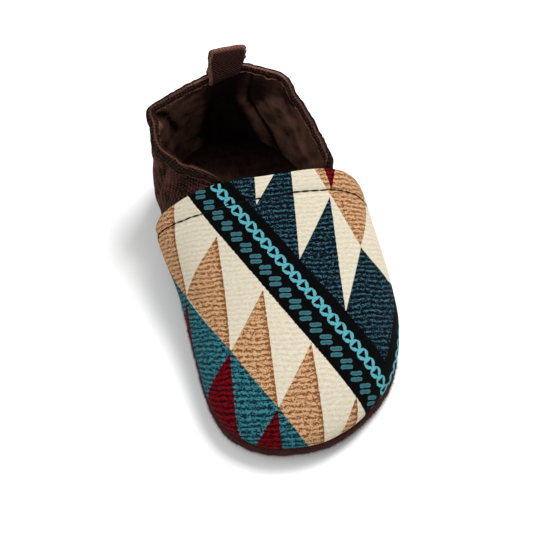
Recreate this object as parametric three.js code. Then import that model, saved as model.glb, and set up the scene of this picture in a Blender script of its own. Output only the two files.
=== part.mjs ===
// A soft shoe for a baby's left foot: a sole, an insole, a hollow upper with an open collar,
// a vamp panel laid over its toe, and a pull loop of tape at its heel.
// Millimetres, +Z up. The toe points to -Y, the outer side of the foot is +X, and the origin
// lies on the floor under the middle of the shoe.
import * as THREE from 'three';
import { mergeVertices } from 'three/addons/utils/BufferGeometryUtils.js';

// Driving sizes
const footLength = 116;        // of the shoe's form where it meets the sole
const ballWidth = 61;          // of the shoe's form where it meets the sole
const instepHeight = 38;       // middle of the throat above the floor
const heelHeight = 44;         // collar at the back of the heel above the floor
const toeSpringHeight = 3;     // lift of the sole at the tip of the toe
const archLift = 1.6;          // lift of the sole at the inner side of its waist
const belly = 2.2;             // how far the side of the ball swells out beyond its foot
const upperWall = 1.5;         // canvas and lining together
const hemHeight = 3.5;         // turned edge round the collar
const hemExtra = 0.7;          // thickness that the turned edge adds to the wall
const vampThickness = 1.1;     // printed cloth with its backing
const vampLip = 1.2;           // how far the vamp runs on past the throat of the upper
const soleThickness = 3;
const soleMargin = 1.3;        // how far the sole stands out beyond the form
const soleEdgeRadius = 1.1;
const insoleThickness = 1.6;
const insoleEdgeRadius = 0.5;
const tapeWidth = 12;
const tapeThickness = 1.3;
const loopRise = 13;           // top of the pull loop above the collar
const loopLeg = 2.2;           // how far each leg of the loop runs down past the collar's edge
const loopFold = 1.1;          // radius of the tape's middle where it turns over at the top
const clearance = 0.3;         // between pieces that touch

// Where the sole leaves the floor towards the toe, and where its waist starts and ends, as shares
// of footLength from the toe
const springStart = 0.27;
const waistStart = 0.38;
const waistEnd = 0.80;

// The foot of each section of the upper, from the tip of the toe to the back of the heel, on the
// inner and the outer side. The places along the foot are shares of footLength from the toe, inner
// and outer are shares of half the ballWidth, and the two bellies are shares of the belly.
const feet = [
  { innerAt: 0.000, inner: 0.15, outerAt: 0.000, outer: -0.15, innerBelly: 0.5, outerBelly: 0.5 },
  { innerAt: 0.012, inner: 0.48, outerAt: 0.012, outer: 0.11, innerBelly: 0.5, outerBelly: 0.5 },
  { innerAt: 0.050, inner: 0.75, outerAt: 0.050, outer: 0.39, innerBelly: 0.6, outerBelly: 0.6 },
  { innerAt: 0.118, inner: 0.94, outerAt: 0.118, outer: 0.71, innerBelly: 0.8, outerBelly: 0.7 },
  { innerAt: 0.206, inner: 0.99, outerAt: 0.206, outer: 0.90, innerBelly: 1.0, outerBelly: 0.9 },
  { innerAt: 0.308, inner: 0.98, outerAt: 0.308, outer: 1.00, innerBelly: 1.0, outerBelly: 1.0 },
  { innerAt: 0.430, inner: 0.95, outerAt: 0.415, outer: 1.02, innerBelly: 1.1, outerBelly: 1.1 },
  { innerAt: 0.560, inner: 0.91, outerAt: 0.525, outer: 0.98, innerBelly: 1.5, outerBelly: 1.5 },
  { innerAt: 0.680, inner: 0.87, outerAt: 0.625, outer: 0.92, innerBelly: 2.1, outerBelly: 2.4 },
  { innerAt: 0.720, inner: 0.85, outerAt: 0.675, outer: 0.86, innerBelly: 1.7, outerBelly: 1.2 },
  { innerAt: 0.775, inner: 0.82, outerAt: 0.740, outer: 0.79, innerBelly: 1.2, outerBelly: 0.5 },
  { innerAt: 0.840, inner: 0.77, outerAt: 0.820, outer: 0.70, innerBelly: 0.8, outerBelly: 0.4 },
  { innerAt: 0.905, inner: 0.67, outerAt: 0.900, outer: 0.57, innerBelly: 0.7, outerBelly: 0.6 },
  { innerAt: 0.972, inner: 0.43, outerAt: 0.972, outer: 0.33, innerBelly: 0.8, outerBelly: 0.8 },
  { innerAt: 1.000, inner: 0.05, outerAt: 1.000, outer: -0.05, innerBelly: 1.0, outerBelly: 1.0 },
];

// The crest of the vamp over the sections from the toe to the throat. at and side place it as in
// the feet, but with the outer side as plus. instep is the share of the instepHeight there, and
// slope the vamp's rise along the foot, as a share of instepHeight to footLength. The fullnesses
// are 1 for the arch of an ellipse, and higher for a squarer one.
const crests = [
  { at: 0.190, side: -0.10, instep: 0.58, slope: 0.95, innerFull: 1.30, outerFull: 1.30 },
  { at: 0.190, side: -0.10, instep: 0.58, slope: 0.95, innerFull: 1.30, outerFull: 1.30 },
  { at: 0.215, side: -0.09, instep: 0.60, slope: 0.95, innerFull: 1.30, outerFull: 1.30 },
  { at: 0.265, side: -0.06, instep: 0.645, slope: 0.95, innerFull: 1.28, outerFull: 1.30 },
  { at: 0.330, side: -0.02, instep: 0.71, slope: 0.95, innerFull: 1.28, outerFull: 1.32 },
  { at: 0.410, side: 0.01, instep: 0.78, slope: 0.95, innerFull: 1.28, outerFull: 1.38 },
  { at: 0.490, side: 0.02, instep: 0.86, slope: 0.90, innerFull: 1.32, outerFull: 1.58 },
  { at: 0.570, side: 0.02, instep: 0.94, slope: 0.80, innerFull: 1.38, outerFull: 1.90 },
  { at: 0.642, side: 0.02, instep: 1.00, slope: 0.60, innerFull: 1.45, outerFull: 2.30 },
];

// The collar's edge at the sections from the one behind the throat to the heel. instep and heel
// are the shares of those two heights that add up to the edge's height.
const collar = [
  { innerAt: 0.698, inner: 0.46, outerAt: 0.668, outer: 0.76, instep: 0.75, heel: 0.20 },
  { innerAt: 0.742, inner: 0.69, outerAt: 0.715, outer: 0.755, instep: 0.50, heel: 0.43 },
  { innerAt: 0.815, inner: 0.86, outerAt: 0.790, outer: 0.71, instep: 0.25, heel: 0.68 },
  { innerAt: 0.904, inner: 0.85, outerAt: 0.880, outer: 0.605, instep: 0.05, heel: 0.92 },
  { innerAt: 0.948, inner: 0.44, outerAt: 0.954, outer: 0.40, instep: 0, heel: 1 },
  { innerAt: 0.982, inner: -0.09, outerAt: 0.982, outer: 0.09, instep: 0, heel: 1 },
];

// The shares of a section's arch at which the upper's side turns into its crown: at the toe, and at
// the throat, where they place the two corners of the collar. The power brings the change nearer
// the throat.
const toeCorner = 0.68;
const innerThroatCorner = 0.83;
const outerThroatCorner = 0.58;
const cornerPower = 4.6;

// The row whose section is the throat, the last row, and the rows of the whole way round
const throatRow = crests.length - 1;
const heelRow = feet.length - 1;
const loopRows = 2 * heelRow;

// How finely the surfaces are divided
const ribsPerRow = 3;          // ribs from one row to the next
const wallSteps = 10;          // steps up the wall to the collar's edge
const crownSteps = 5;          // steps on from there to the vamp's crest
const acrossSteps = 6;         // steps across the faces of a sole
const loopSlices = 5;          // steps across the tape
const closingSteps = 4;        // steps in which the loop's legs come together
const foldSteps = 4;           // steps of each half of its fold
const ribCount = loopRows * ribsPerRow;
const throatRib = throatRow * ribsPerRow;
const hemStep = wallSteps - 1;
const crestStep = wallSteps + crownSteps;

// Where the belly is fullest: under 1 brings it nearer the sole
const bellyPower = 0.7;
// Over 1, the steps up the wall are closer together near the sole
const stepPower = 1.3;
// How far below the collar's line the last step under the hem lies, in hem heights
const belowHem = 1.6;
// Rows to each side over which a direction along the foot is measured
const probe = 0.05;
// Rows behind the throat over which the arch turns into a wall, over which the upper comes out
// from under the vamp, and over which the turned edge gets its thickness
const archFade = [0, 2];
const coverFade = [0.25, 1.2];
const hemFade = [0.3, 1.3];

const { smoothstep, lerp, clamp } = THREE.MathUtils;

const lengthwise = (share) => (share - 0.5) * footLength;
const sideways = (share) => share * ballWidth / 2;

// A list of values for the rows, from the tip of the toe along the outer side to the heel and
// back along the inner side.
function roundTheFoot(outerValue, innerValue) {
  return Array.from({ length: loopRows }, (unused, place) =>
    place <= heelRow ? outerValue(place) : innerValue(loopRows - place));
}

// A smooth value between the entries of a closed list, which never overshoots them.
function between(list, place) {
  const entry = (index) => list[((index % list.length) + list.length) % list.length];
  const rise = (index) => entry(index + 1) - entry(index);
  const tangent = (index) => {
    const before = rise(index - 1);
    const after = rise(index);
    return before * after > 0 ? (2 * before * after) / (before + after) : 0;
  };
  const index = Math.floor(place);
  const t = place - index;
  return entry(index)
    + rise(index) * t * t * (3 - 2 * t)
    + tangent(index) * t * (1 - t) * (1 - t)
    - tangent(index + 1) * t * t * (1 - t);
}

// How many rows a place lies behind the throat: less than 0 on the vamp, and more at the collar.
const behindThroat = (place) => Math.min(place, loopRows - place) - throatRow;

// How far the sole has lifted off the floor, at the spring of the toe and at the waist.
function liftAt(x, y) {
  const share = y / footLength + 0.5;
  const spring = toeSpringHeight * Math.max(0, 1 - share / springStart) ** 2;
  const waist = clamp((share - waistStart) / (waistEnd - waistStart), 0, 1);
  const innerSide = clamp(0.5 - x / ballWidth, 0, 1);
  return spring + archLift * Math.sin(Math.PI * waist) ** 2 * innerSide ** 2;
}

// A point of the form's outline at its foot, moved out of it by a distance.
const footX = roundTheFoot(
  (row) => sideways(feet[row].outer), (row) => -sideways(feet[row].inner));
const footY = roundTheFoot(
  (row) => lengthwise(feet[row].outerAt), (row) => lengthwise(feet[row].innerAt));
function outlinePoint(place, outwards = 0) {
  const at = (where) => new THREE.Vector2(between(footX, where), between(footY, where));
  const along = at(place + probe).sub(at(place - probe)).normalize();
  return at(place).add(new THREE.Vector2(along.y, -along.x).multiplyScalar(outwards));
}

const footHeight = (foot) => soleThickness + liftAt(foot.x, foot.y) + clearance;
const bellies = roundTheFoot(
  (row) => belly * feet[row].outerBelly, (row) => belly * feet[row].innerBelly);
const swellAt = (place, upwards) =>
  between(bellies, place) * Math.sin(Math.PI * upwards ** bellyPower);

// A point of the vamp's arch, from the foot at q = 0 to the crest at q = 1. Behind the throat the
// arch still reaches for the throat's crest.
const crestRow = (row) => crests[Math.min(row, throatRow)];
const crestRounds = (outerName, innerName = outerName) =>
  roundTheFoot((row) => crestRow(row)[outerName], (row) => crestRow(row)[innerName]);
const crestAt = crestRounds('at');
const crestSide = crestRounds('side');
const crestInstep = crestRounds('instep');
const crestSlope = crestRounds('slope');
const fullness = crestRounds('outerFull', 'innerFull');
const cornerRow = (row, atThroat) =>
  lerp(toeCorner, atThroat, Math.min(row / throatRow, 1) ** cornerPower);
const corners = roundTheFoot(
  (row) => cornerRow(row, outerThroatCorner), (row) => cornerRow(row, innerThroatCorner));
function archPoint(place, q) {
  const foot = outlinePoint(place);
  const crest = new THREE.Vector2(
    sideways(between(crestSide, place)), lengthwise(between(crestAt, place)));
  const power = 1 / between(fullness, place);
  const inwards = 1 - Math.cos(q * Math.PI / 2) ** power;
  const upwards = Math.sin(q * Math.PI / 2) ** power;
  const swollen = outlinePoint(place, swellAt(place, upwards));
  const level = foot.clone().lerp(crest, inwards).add(swollen).sub(foot);
  const rise = between(crestSlope, place) * (instepHeight / footLength) * (level.y - crest.y);
  const top = between(crestInstep, place) * instepHeight + rise;
  return new THREE.Vector3(level.x, level.y, lerp(footHeight(foot), top, upwards));
}

// The collar's edge, which starts and ends at the two corners of the throat.
const cornerPoint = (place) => archPoint(place, between(corners, place));
const outerCorner = cornerPoint(throatRow);
const innerCorner = cornerPoint(loopRows - throatRow);
function collarRounds(outerValue, innerValue, axis) {
  const oneSide = (value, corner) => (row) => {
    const steps = row - throatRow;
    return steps > 0 ? value(collar[steps - 1]) : lerp(corner[axis], value(collar[0]), steps);
  };
  return roundTheFoot(oneSide(outerValue, outerCorner), oneSide(innerValue, innerCorner));
}
const collarHeight = (row) => row.instep * instepHeight + row.heel * heelHeight;
const collarX = collarRounds((row) => sideways(row.outer), (row) => -sideways(row.inner), 'x');
const collarY = collarRounds(
  (row) => lengthwise(row.outerAt), (row) => lengthwise(row.innerAt), 'y');
const collarZ = collarRounds(collarHeight, collarHeight, 'z');
const collarPoint = (place) =>
  new THREE.Vector3(between(collarX, place), between(collarY, place), between(collarZ, place));

// The form's outer face: place goes round the foot, and t from the foot, 0, to the line of the
// collar's edge, 1. On the vamp it goes on to the crest, 2.
function formPoint(place, t) {
  const corner = between(corners, place);
  if (behindThroat(place) <= 0) {
    return archPoint(place, t <= 1 ? t * corner : lerp(corner, 1, t - 1));
  }
  const foot = outlinePoint(place);
  const edge = collarPoint(place);
  const swell = outlinePoint(place, swellAt(place, t)).sub(foot);
  const wall = new THREE.Vector3(foot.x, foot.y, footHeight(foot)).lerp(edge, t);
  wall.add(new THREE.Vector3(swell.x, swell.y, 0));
  const arch = archPoint(place, t * corner);
  arch.addScaledVector(edge.sub(cornerPoint(place)), t);
  return arch.lerp(wall, smoothstep(behindThroat(place), ...archFade));
}

// The share of a rib that the hem takes up, measured along the rib's upper half.
function hemShare(place) {
  const halfway = 0.5;
  return (1 - halfway) * hemHeight / formPoint(place, halfway).distanceTo(formPoint(place, 1));
}

// One rib of the form: the steps up to the hem, the hem's lower edge and the collar's line, and
// on the vamp the steps from there to the crest.
function formRib(place) {
  const hem = hemShare(place);
  const wall = Array.from({ length: hemStep }, (unused, step) =>
    (step / (hemStep - 1)) ** stepPower * (1 - belowHem * hem));
  const crown = Array.from({ length: crownSteps }, (unused, step) => 1 + (step + 1) / crownSteps);
  const shares = [...wall, 1 - hem, 1, ...(behindThroat(place) <= 0 ? crown : [])];
  return shares.map((share) => formPoint(place, share));
}

// All ribs of the form, with the direction out of it at each point. The ribs of both sides of
// the vamp share their crest, and those of the toe all end at its front.
function makeForm() {
  const grid = Array.from({ length: ribCount }, (unused, rib) => formRib(rib / ribsPerRow));
  for (let rib = 0; rib <= throatRib; rib += 1) {
    const crest = grid[rib <= ribsPerRow ? 0 : rib][crestStep];
    grid[rib][crestStep] = crest;
    grid[(ribCount - rib) % ribCount][crestStep] = crest;
  }
  const outwards = new Map(grid.flat().map((point) => [point, new THREE.Vector3()]));
  grid.forEach((rib, index) => {
    const next = grid[(index + 1) % ribCount];
    for (let step = 0; step + 1 < Math.min(rib.length, next.length); step += 1) {
      const rising = next[step + 1].clone().sub(rib[step]);
      const falling = rib[step + 1].clone().sub(next[step]);
      const normal = rising.cross(falling);
      new Set([rib[step], next[step], next[step + 1], rib[step + 1]]).forEach((corner) =>
        outwards.get(corner).add(normal));
    }
  });
  grid.forEach((rib) => outwards.get(rib[0]).setZ(0));
  outwards.forEach((direction) => direction.normalize());
  return { grid, outwards };
}

const form = makeForm();

// A point of the form, moved out of it by a distance. Ribs count on past the last to the first.
function formOffset(rib, step, distance) {
  const point = form.grid[((rib % ribCount) + ribCount) % ribCount][step];
  return point.clone().addScaledVector(form.outwards.get(point), distance);
}

// A rib of the form from one step to another, moved out of it by a distance.
function offsetRib(rib, firstStep, lastStep, distance) {
  return Array.from({ length: lastStep - firstStep + 1 }, (unused, index) =>
    formOffset(rib, firstStep + index, distance));
}

// A list with one entry for each rib from the first to the last.
function eachRib(first, last, entry) {
  return Array.from({ length: last - first + 1 }, (unused, index) => entry(first + index));
}

// A mesh with one closed surface, from patches. A patch is a list of lines of points, and its
// face looks at a viewer who sees the lines follow each other to the right and run upwards.
// A patch in the list of backs looks away from that viewer.
function closedMesh(name, finish, patches, backs) {
  const positions = [];
  const addPatch = (lines, isBack) => {
    for (let line = 0; line + 1 < lines.length; line += 1) {
      for (let step = 0; step + 1 < lines[line].length; step += 1) {
        const [a, b] = [lines[line][step], lines[line + 1][step]];
        const [c, d] = [lines[line + 1][step + 1], lines[line][step + 1]];
        const corners = isBack ? [a, c, b, a, d, c] : [a, b, c, a, c, d];
        corners.forEach((corner) => positions.push(...corner));
      }
    }
  };
  patches.forEach((lines) => addPatch(lines, false));
  backs.forEach((lines) => addPatch(lines, true));
  const loose = new THREE.BufferGeometry();
  loose.setAttribute('position', new THREE.Float32BufferAttribute(positions, 3));
  const geometry = mergeVertices(loose, 1e-3);
  const corners = geometry.getIndex().array;
  const kept = [];
  for (let start = 0; start < corners.length; start += 3) {
    const [a, b, c] = corners.slice(start, start + 3);
    if (a !== b && b !== c && c !== a) {
      kept.push(a, b, c);
    }
  }
  geometry.setIndex(kept);
  geometry.computeVertexNormals();
  const material = new THREE.MeshStandardMaterial({ metalness: 0, ...finish });
  const mesh = new THREE.Mesh(geometry, material);
  mesh.name = name;
  return mesh;
}

// A flat piece with rounded edges that follows the sole's lift. outwardsAt gives how far its edge
// stands out from the form's foot at a place.
function slab(name, finish, outwardsAt, bottom, thickness, edgeRadius) {
  const corner = 1 - Math.SQRT1_2;
  const profile = [[1, 0], [corner, corner], [0, 1]];
  const edge = [
    ...profile.map(([inset, height]) => [inset * edgeRadius, height * edgeRadius]),
    ...profile.toReversed().map(([inset, height]) =>
      [inset * edgeRadius, thickness - height * edgeRadius]),
  ];
  const lifted = (point, height) =>
    new THREE.Vector3(point.x, point.y, bottom + height + liftAt(point.x, point.y));
  const rim = eachRib(0, ribCount, (rib) => edge.map(([inset, height]) => {
    const place = (rib % ribCount) / ribsPerRow;
    return lifted(outlinePoint(place, outwardsAt(place) - inset), height);
  }));
  const face = (end, height) => eachRib(0, ribCount / 2, (rib) =>
    Array.from({ length: acrossSteps + 1 }, (unused, step) => {
      const across = rim[rib][end].clone().lerp(rim[ribCount - rib][end], step / acrossSteps);
      return lifted(across, height);
    }));
  return closedMesh(name, finish, [rim, face(edge.length - 1, thickness)], [face(0, 0)]);
}

// How much of the vamp covers the upper at a place: 1 at the toe, and 0 at the collar.
const coverAt = (place) => 1 - smoothstep(behindThroat(place), ...coverFade);
const vampDepthAt = (place) => coverAt(place) * (vampThickness + clearance);

// The upper: one hollow wall with a turned edge round its collar.
function makeUpper(finish) {
  const outerFace = eachRib(0, ribCount, (rib) => {
    const place = (rib % ribCount) / ribsPerRow;
    const depth = vampDepthAt(place);
    const hem = hemExtra * smoothstep(behindThroat(place), ...hemFade);
    return [
      ...offsetRib(rib, 0, hemStep, -depth),
      ...offsetRib(rib, hemStep, wallSteps, hem - depth),
    ];
  });
  const innerFace = eachRib(0, ribCount, (rib) =>
    offsetRib(rib, 0, wallSteps, -vampDepthAt((rib % ribCount) / ribsPerRow) - upperWall));
  const footEdge = outerFace.map((line, rib) => [line[0], innerFace[rib][0]]);
  const collarEdge = eachRib(throatRib, ribCount - throatRib, (rib) =>
    [outerFace[rib].at(-1), innerFace[rib].at(-1)]);
  const crown = (depth) => eachRib(-throatRib, throatRib, (rib) =>
    offsetRib(rib, wallSteps, crestStep, -depth));
  const outerCrown = crown(vampDepthAt(0));
  const innerCrown = crown(vampDepthAt(0) + upperWall);
  const throatEdge = (end) => [outerCrown.at(end), innerCrown.at(end)];
  return closedMesh('upper', finish,
    [outerFace, outerCrown, collarEdge, throatEdge(-1)],
    [innerFace, innerCrown, footEdge, throatEdge(0)]);
}

// The vamp panel: a sheet from the sole over the toe to a lip just behind the throat. The lip
// follows the wall of the upper as high as its collar, and runs straight on above that.
function makeVamp(finish) {
  const sheet = (depth) => {
    const lip = (side) => {
      const before = offsetRib(side * (throatRib - 1), 0, crestStep, -depth);
      const behind = offsetRib(side * (throatRib + 1), 0, wallSteps, -depth);
      return offsetRib(side * throatRib, 0, crestStep, -depth).map((point, step) => {
        const way = step <= wallSteps ? behind[step].sub(point) : point.clone().sub(before[step]);
        return way.setLength(vampLip).add(point);
      });
    };
    const lines = eachRib(-throatRib, throatRib, (rib) => offsetRib(rib, 0, crestStep, -depth));
    return [lip(-1), ...lines, lip(1)];
  };
  const outerFace = sheet(0);
  const innerFace = sheet(vampThickness);
  const footEdge = outerFace.map((line, rib) => [line[0], innerFace[rib][0]]);
  const throatEdge = (end) => [outerFace.at(end), innerFace.at(end)];
  return closedMesh('vamp', finish,
    [outerFace, throatEdge(-1)],
    [innerFace, footEdge, throatEdge(0)]);
}

// The way of the tape's middle over the collar, as distances out of and up the wall. It starts at
// the lower end of the outer leg.
function tapeRoute() {
  const wallMiddle = (hemExtra - upperWall) / 2;
  const legOut = (hemExtra + upperWall) / 2 + clearance + tapeThickness / 2;
  const foldHeight = loopRise - tapeThickness / 2 - loopFold;
  const closing = Array.from({ length: closingSteps }, (unused, step) => {
    const share = (step + 1) / closingSteps;
    return [lerp(legOut, loopFold, smoothstep(share, 0, 1)), lerp(clearance, foldHeight, share)];
  });
  const fold = Array.from({ length: foldSteps - 1 }, (unused, step) => {
    const turn = (step + 1) / foldSteps * Math.PI / 2;
    return [loopFold * Math.cos(turn), foldHeight + loopFold * Math.sin(turn)];
  });
  const half = [[legOut, -loopLeg], [legOut, clearance], ...closing, ...fold];
  const top = [0, foldHeight + loopFold];
  return [...half, top, ...half.toReversed().map(([out, up]) => [-out, up])]
    .map(([out, up]) => new THREE.Vector2(wallMiddle + out, up));
}

// The place at the heel where the collar's edge crosses x, found by halving.
function placeAcross(x) {
  const halvings = 30;
  let [outerPlace, innerPlace] = [heelRow - 1, heelRow + 1];
  for (let halving = 0; halving < halvings; halving += 1) {
    const middle = (outerPlace + innerPlace) / 2;
    if (between(collarX, middle) > x) {
      outerPlace = middle;
    } else {
      innerPlace = middle;
    }
  }
  return outerPlace;
}

// The pull loop: a tape folded over the collar at the heel, and bent to follow it.
function makePullLoop(finish) {
  const route = tapeRoute();
  const slice = (x, side) => {
    const place = placeAcross(x);
    const rim = collarPoint(place);
    const along = collarPoint(place + probe).sub(collarPoint(place - probe));
    const up = rim.clone().sub(formPoint(place, 1 - hemShare(place))).normalize();
    const out = along.cross(up).normalize();
    return route.map((point, index) => {
      const before = route[Math.max(index - 1, 0)];
      const after = route[Math.min(index + 1, route.length - 1)];
      const way = after.clone().sub(before).normalize();
      const outwards = new THREE.Vector2(way.y, -way.x).multiplyScalar(side * tapeThickness / 2);
      const moved = point.clone().add(outwards);
      return rim.clone().addScaledVector(out, moved.x).addScaledVector(up, moved.y);
    });
  };
  const sheet = (side) => Array.from({ length: loopSlices + 1 }, (unused, index) =>
    slice(tapeWidth * (0.5 - index / loopSlices), side));
  const outside = sheet(1);
  const inside = sheet(-1);
  const legEnd = (end) => outside.map((line, index) => [line.at(end), inside[index].at(end)]);
  const tapeEdge = (end) => [outside.at(end), inside.at(end)];
  return closedMesh('pull_loop', finish,
    [outside, legEnd(-1), tapeEdge(-1)],
    [inside, legEnd(0), tapeEdge(0)]);
}

const shoe = new THREE.Group();
shoe.add(
  slab('outsole', { color: 0x46302a, roughness: 0.95 },
    () => soleMargin,
    0, soleThickness, soleEdgeRadius),
  slab('insole', { color: 0x33241f, roughness: 0.95 },
    (place) => -(vampDepthAt(place) + upperWall + clearance),
    soleThickness + clearance, insoleThickness, insoleEdgeRadius),
  makeUpper({ color: 0x2f1f1b, roughness: 0.9 }),
  makeVamp({ color: 0xcdbfa6, roughness: 0.85 }),
  makePullLoop({ color: 0x4a332d, roughness: 0.9 }),
);
const bounds = new THREE.Box3().setFromObject(shoe);
const middle = bounds.getCenter(new THREE.Vector3());
shoe.position.set(-middle.x, -middle.y, 0);

export default shoe;
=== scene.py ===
# %% [markdown]
# A baby's soft crib shoe, dressed in Blender over the solids of its CAD model. Each one is then
# replaced by a softer, finer piece of the same size in the same place. The toe points to -Y, the
# outer side of this left shoe is +X, and it stands on the floor at z = 0.

# %% Load the frame
import math

import bmesh
import bpy
import numpy as np
from mathutils import Matrix, Vector, noise
from mathutils.kdtree import KDTree


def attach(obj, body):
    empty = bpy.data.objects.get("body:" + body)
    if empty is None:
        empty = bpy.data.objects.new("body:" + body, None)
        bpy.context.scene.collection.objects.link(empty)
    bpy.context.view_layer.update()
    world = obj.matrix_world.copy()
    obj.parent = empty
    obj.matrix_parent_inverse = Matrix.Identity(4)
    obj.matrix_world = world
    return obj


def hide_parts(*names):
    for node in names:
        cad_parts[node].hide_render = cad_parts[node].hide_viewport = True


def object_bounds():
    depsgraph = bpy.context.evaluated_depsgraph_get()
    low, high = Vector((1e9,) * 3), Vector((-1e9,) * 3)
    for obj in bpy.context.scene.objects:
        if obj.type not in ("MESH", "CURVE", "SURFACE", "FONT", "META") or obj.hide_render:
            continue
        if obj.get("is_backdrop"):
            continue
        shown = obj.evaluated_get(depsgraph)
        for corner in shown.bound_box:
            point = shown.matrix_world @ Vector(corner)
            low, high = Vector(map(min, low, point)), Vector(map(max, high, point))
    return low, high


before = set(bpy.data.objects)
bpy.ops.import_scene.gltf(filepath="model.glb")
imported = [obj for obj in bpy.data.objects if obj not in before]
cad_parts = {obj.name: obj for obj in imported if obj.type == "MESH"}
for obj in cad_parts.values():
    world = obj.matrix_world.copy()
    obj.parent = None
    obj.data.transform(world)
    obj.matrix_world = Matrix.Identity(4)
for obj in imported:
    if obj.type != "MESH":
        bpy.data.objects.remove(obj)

cad_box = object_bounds()
MM = 0.001
print("solids:", sorted(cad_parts))

# %% [markdown]
# Every cloth piece starts as a copy of its solid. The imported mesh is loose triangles, so its
# doubles are merged, and pairs of triangles become four-sided faces again. Four-sided faces are
# what a subdivision surface needs to round a form without pinches. A piece could also be modelled
# anew, but a copy is sure to have the size and the place of its solid.

# %% Copying a solid
MERGE_DISTANCE = 0.002 * MM
QUAD_LIMITS = {"face_threshold": math.radians(50), "shape_threshold": math.radians(150)}


def add_object(name, data):
    """A new object of the scene, with a mesh, a camera or a light as its data."""
    thing = bpy.data.objects.new(name, data)
    bpy.context.scene.collection.objects.link(thing)
    return thing


def alone(piece):
    """Selects one object and makes it the active one."""
    bpy.ops.object.select_all(action="DESELECT")
    piece.select_set(True)
    bpy.context.view_layer.objects.active = piece


def edit_all(piece, operator, **settings):
    """Runs an operator of edit mode on the whole mesh of a piece."""
    alone(piece)
    bpy.ops.object.mode_set(mode="EDIT")
    bpy.ops.mesh.select_all(action="SELECT")
    operator(**settings)
    bpy.ops.object.mode_set(mode="OBJECT")


def copy_solid(node, name):
    """A copy of a CAD node with merged points and four-sided faces."""
    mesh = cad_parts[node].data.copy()
    mesh.name = name
    mesh.materials.clear()
    piece = add_object(name, mesh)
    edit_all(piece, bpy.ops.mesh.customdata_custom_splitnormals_clear)
    edit_all(piece, bpy.ops.mesh.remove_doubles, threshold=MERGE_DISTANCE)
    edit_all(piece, bpy.ops.mesh.tris_convert_to_quads, **QUAD_LIMITS)
    return piece


# %% Shaping a copy


def apply_modifier(piece, kind, **settings):
    """Adds a modifier with its settings and applies it."""
    alone(piece)
    bpy.ops.object.modifier_add(type=kind)
    modifier = piece.modifiers[-1]
    for setting, value in settings.items():
        setattr(modifier, setting, value)
    bpy.ops.object.modifier_apply(modifier=modifier.name)


def subdivide(piece, levels):
    """Rounds a piece with a subdivision surface and shades it smooth."""
    apply_modifier(piece, "SUBSURF", levels=levels, render_levels=levels)
    piece.data.shade_smooth()


def keep_faces(piece, wanted):
    """Deletes every face of a piece for which wanted(face) is false."""
    mesh = bmesh.new()
    mesh.from_mesh(piece.data)
    extra = [face for face in mesh.faces if not wanted(face)]
    bmesh.ops.delete(mesh, geom=extra, context="FACES")
    mesh.to_mesh(piece.data)
    mesh.free()


# %% Reading and moving points


def read_rows(items, name, width):
    """One property of each item, as an array with rows of this width."""
    values = np.empty(len(items) * width)
    items.foreach_get(name, values)
    return values.reshape(-1, width)


def points_of(piece):
    """The points of a piece as rows of x, y and z."""
    return read_rows(piece.data.vertices, "co", 3)


def normals_of(piece):
    """The direction out of a piece at each of its points."""
    return read_rows(piece.data.vertex_normals, "vector", 3)


def corners_of(piece):
    """The number of the point at each corner of each face."""
    return np.array([loop.vertex_index for loop in piece.data.loops])


def move_points(piece, points):
    """Puts the points of a piece at new places."""
    piece.data.vertices.foreach_set("co", points.ravel())
    piece.data.update()


def stand_for(node, slot, *pieces):
    """Lets pieces stand for their CAD node, which is hidden, and hangs them on the root body."""
    for piece in pieces:
        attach(piece, "root")
        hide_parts(node)
        print(piece.name, len(piece.data.polygons), "faces")


# %% [markdown]
# All colours come from nodes, because they stay sharp at any size and need no picture file. Their
# sums are written as Python expressions: a Number wraps a socket, and each operator on it adds a
# Math node. Wiring the nodes by hand would give the same result, but nobody could read it.

# %% Numbers on a surface


def adding(operation):
    """A method of Number that adds one kind of Math node."""
    return lambda number, *others: number.math(operation, *others)


class Number:
    """A number that varies over a surface. Python's operators add Math nodes for it."""

    def __init__(self, finish, socket):
        self.finish = finish
        self.socket = socket

    def math(self, operation, *others, clamp=False):
        """A Math node on this number and others."""
        settings = {"operation": operation, "use_clamp": clamp}
        return self.finish.node("ShaderNodeMath", settings, dict(enumerate((self, *others))))

    __add__ = __radd__ = adding("ADD")
    __sub__ = adding("SUBTRACT")
    __mul__ = __rmul__ = adding("MULTIPLY")
    __gt__ = adding("GREATER_THAN")
    __lt__ = adding("LESS_THAN")
    __abs__ = adding("ABSOLUTE")
    least = adding("MINIMUM")
    most = adding("MAXIMUM")

    def __rsub__(self, other):
        return (self * -1) + other

    def wave(self, length):
        """A sine wave from -1 to 1 that repeats after each length."""
        return (self * (2 * math.pi / length)).math("SINE")

    def ramp(self, low, high):
        """0 below low, 1 above high, and a straight rise between them."""
        return self.math("MULTIPLY_ADD", 1 / (high - low), -low / (high - low), clamp=True)

    def between(self, low, high, soft):
        """1 between low and high, and 0 beyond them, with soft edges on the inside."""
        return (self - low).ramp(0.0, soft) * (high - self).ramp(0.0, soft)


# %% [markdown]
# A Finish is one material. Its node method makes every node: settings first, then the values or
# links of the sockets. The other methods are the few nodes that cloth needs: the place on the shoe
# or on the flat cloth, noise, a mix of two colours, bumps, and the soft sheen of brushed fibres.
# All finishes here are cloth or suede, so they share one very low gloss.

# %% Finishes
CLOTH_GLOSS = 0.04


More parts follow.
